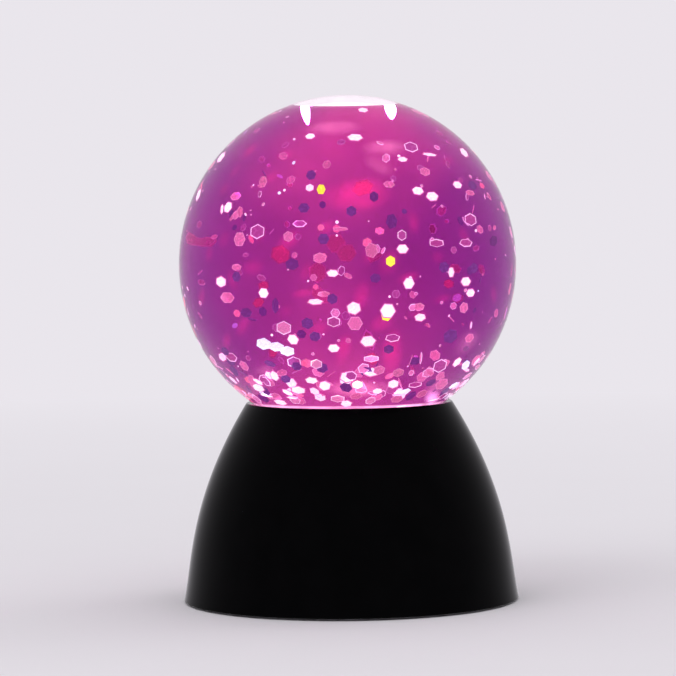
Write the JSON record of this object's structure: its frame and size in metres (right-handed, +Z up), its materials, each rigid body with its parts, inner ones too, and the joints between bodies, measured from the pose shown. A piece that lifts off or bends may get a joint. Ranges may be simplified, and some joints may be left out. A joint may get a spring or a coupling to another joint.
{
  "type": "glitter lamp",
  "caption": "Battery glitter lamp: a clear liquid-filled globe with loose glitter and a magnetic stirrer, lit from below, on a tall curved black base.",
  "frame": {"origin": "point of the table under the middle of the base, at the underside of the foot pads", "axes": "+Z up along the axis of the globe and the base, -Y the front that the picture shows, +Y the back with the switch, +X to the right seen from the front"},
  "size_m": [0.1, 0.1, 0.15],
  "materials": {
    "housing_gloss_black": "gloss",
    "globe_clear": "polished",
    "liquid_pink": "gloss",
    "glitter_foil": "polished",
    "clear_plastic": "gloss",
    "plastic_black": "satin",
    "plastic_white": "satin",
    "rubber_black": "matte",
    "steel": "satin",
    "contact_nickel": "satin",
    "magnet_nickel": "satin",
    "ferrite": "matte",
    "winding_copper": "gloss",
    "cell_jacket": "gloss",
    "board_green": "satin",
    "chip_black": "matte",
    "lens_red": "gloss",
    "lens_green": "gloss",
    "lens_blue": "gloss",
    "wire_red": "satin",
    "wire_black": "satin",
    "wire_white": "satin"
  },
  "bodies": {
    "root": {"base_housing": "housing_gloss_black", "bottom_cover": "plastic_black", "foot_pad_1": "rubber_black", "foot_pad_2": "rubber_black", "foot_pad_3": "rubber_black", "foot_pad_4": "rubber_black", "cover_screw_1": "steel", "cover_screw_2": "steel", "cover_screw_3": "steel", "battery_1": "cell_jacket", "battery_2": "cell_jacket", "battery_3": "cell_jacket", "contact_negative": "contact_nickel", "contact_link_rear": "contact_nickel", "contact_link_front": "contact_nickel", "contact_positive": "contact_nickel", "switch_body": "plastic_black", "lead_positive": "wire_red", "lead_switched": "wire_white", "lead_negative": "wire_black", "lead_motor_red": "wire_red", "lead_motor_black": "wire_black", "motor_can": "steel", "motor_end_cap": "plastic_white", "motor_magnet_ring": "ferrite", "motor_plate": "plastic_white", "motor_screw_1": "steel", "motor_screw_2": "steel", "plate_screw_1": "steel", "plate_screw_2": "steel", "plate_screw_3": "steel", "led_board": "board_green", "led_red": "lens_red", "led_green": "lens_green", "led_blue": "lens_blue", "control_chip": "chip_black", "globe_shell": "globe_clear", "globe_ring_nut": "plastic_black", "globe_plug": "clear_plastic", "plug_seal": "rubber_black", "impeller_pin": "steel"},
    "switch_knob": {"switch_knob": "plastic_black"},
    "battery_door": {"battery_door": "plastic_black", "door_screw": "steel"},
    "rotor": {"motor_shaft": "steel", "motor_armature": "winding_copper", "magnet_carrier": "plastic_white", "drive_magnet_1": "magnet_nickel", "drive_magnet_2": "magnet_nickel"},
    "impeller": {"impeller": "clear_plastic", "impeller_magnet_1": "magnet_nickel", "impeller_magnet_2": "magnet_nickel"},
    "swirl": {"glitter_liquid": "liquid_pink", "glitter_flake_1": "glitter_foil", "glitter_flake_2": "glitter_foil", "glitter_flake_3": "glitter_foil", "glitter_flake_4": "glitter_foil", "glitter_flake_5": "glitter_foil", "glitter_flake_6": "glitter_foil", "glitter_flake_7": "glitter_foil"}
  },
  "joints": [
    {"name": "switch_slide", "type": "slide", "parent": "root", "child": "switch_knob", "axis": [1, 0, 0], "range_m": [-0.004, 0]},
    {"name": "battery_door_tilt", "type": "hinge", "parent": "root", "child": "battery_door", "pos_m": [0, -0.032, 0.0012], "axis": [-1, 0, 0], "range_deg": [0, 30]},
    {"name": "rotor_spin", "type": "hinge", "parent": "root", "child": "rotor", "pos_m": [0, 0, 0.03], "axis": [0, 0, 1], "continuous": true},
    {"name": "impeller_spin", "type": "hinge", "parent": "root", "child": "impeller", "pos_m": [0, 0, 0.052], "axis": [0, 0, 1], "continuous": true},
    {"name": "liquid_swirl", "type": "hinge", "parent": "root", "child": "swirl", "pos_m": [0, 0, 0.1], "axis": [0, 0, 1], "continuous": true}
  ],
  "couplings": [
    {"joint": "impeller_spin", "follows": "rotor_spin", "ratio": 1}
  ]
}
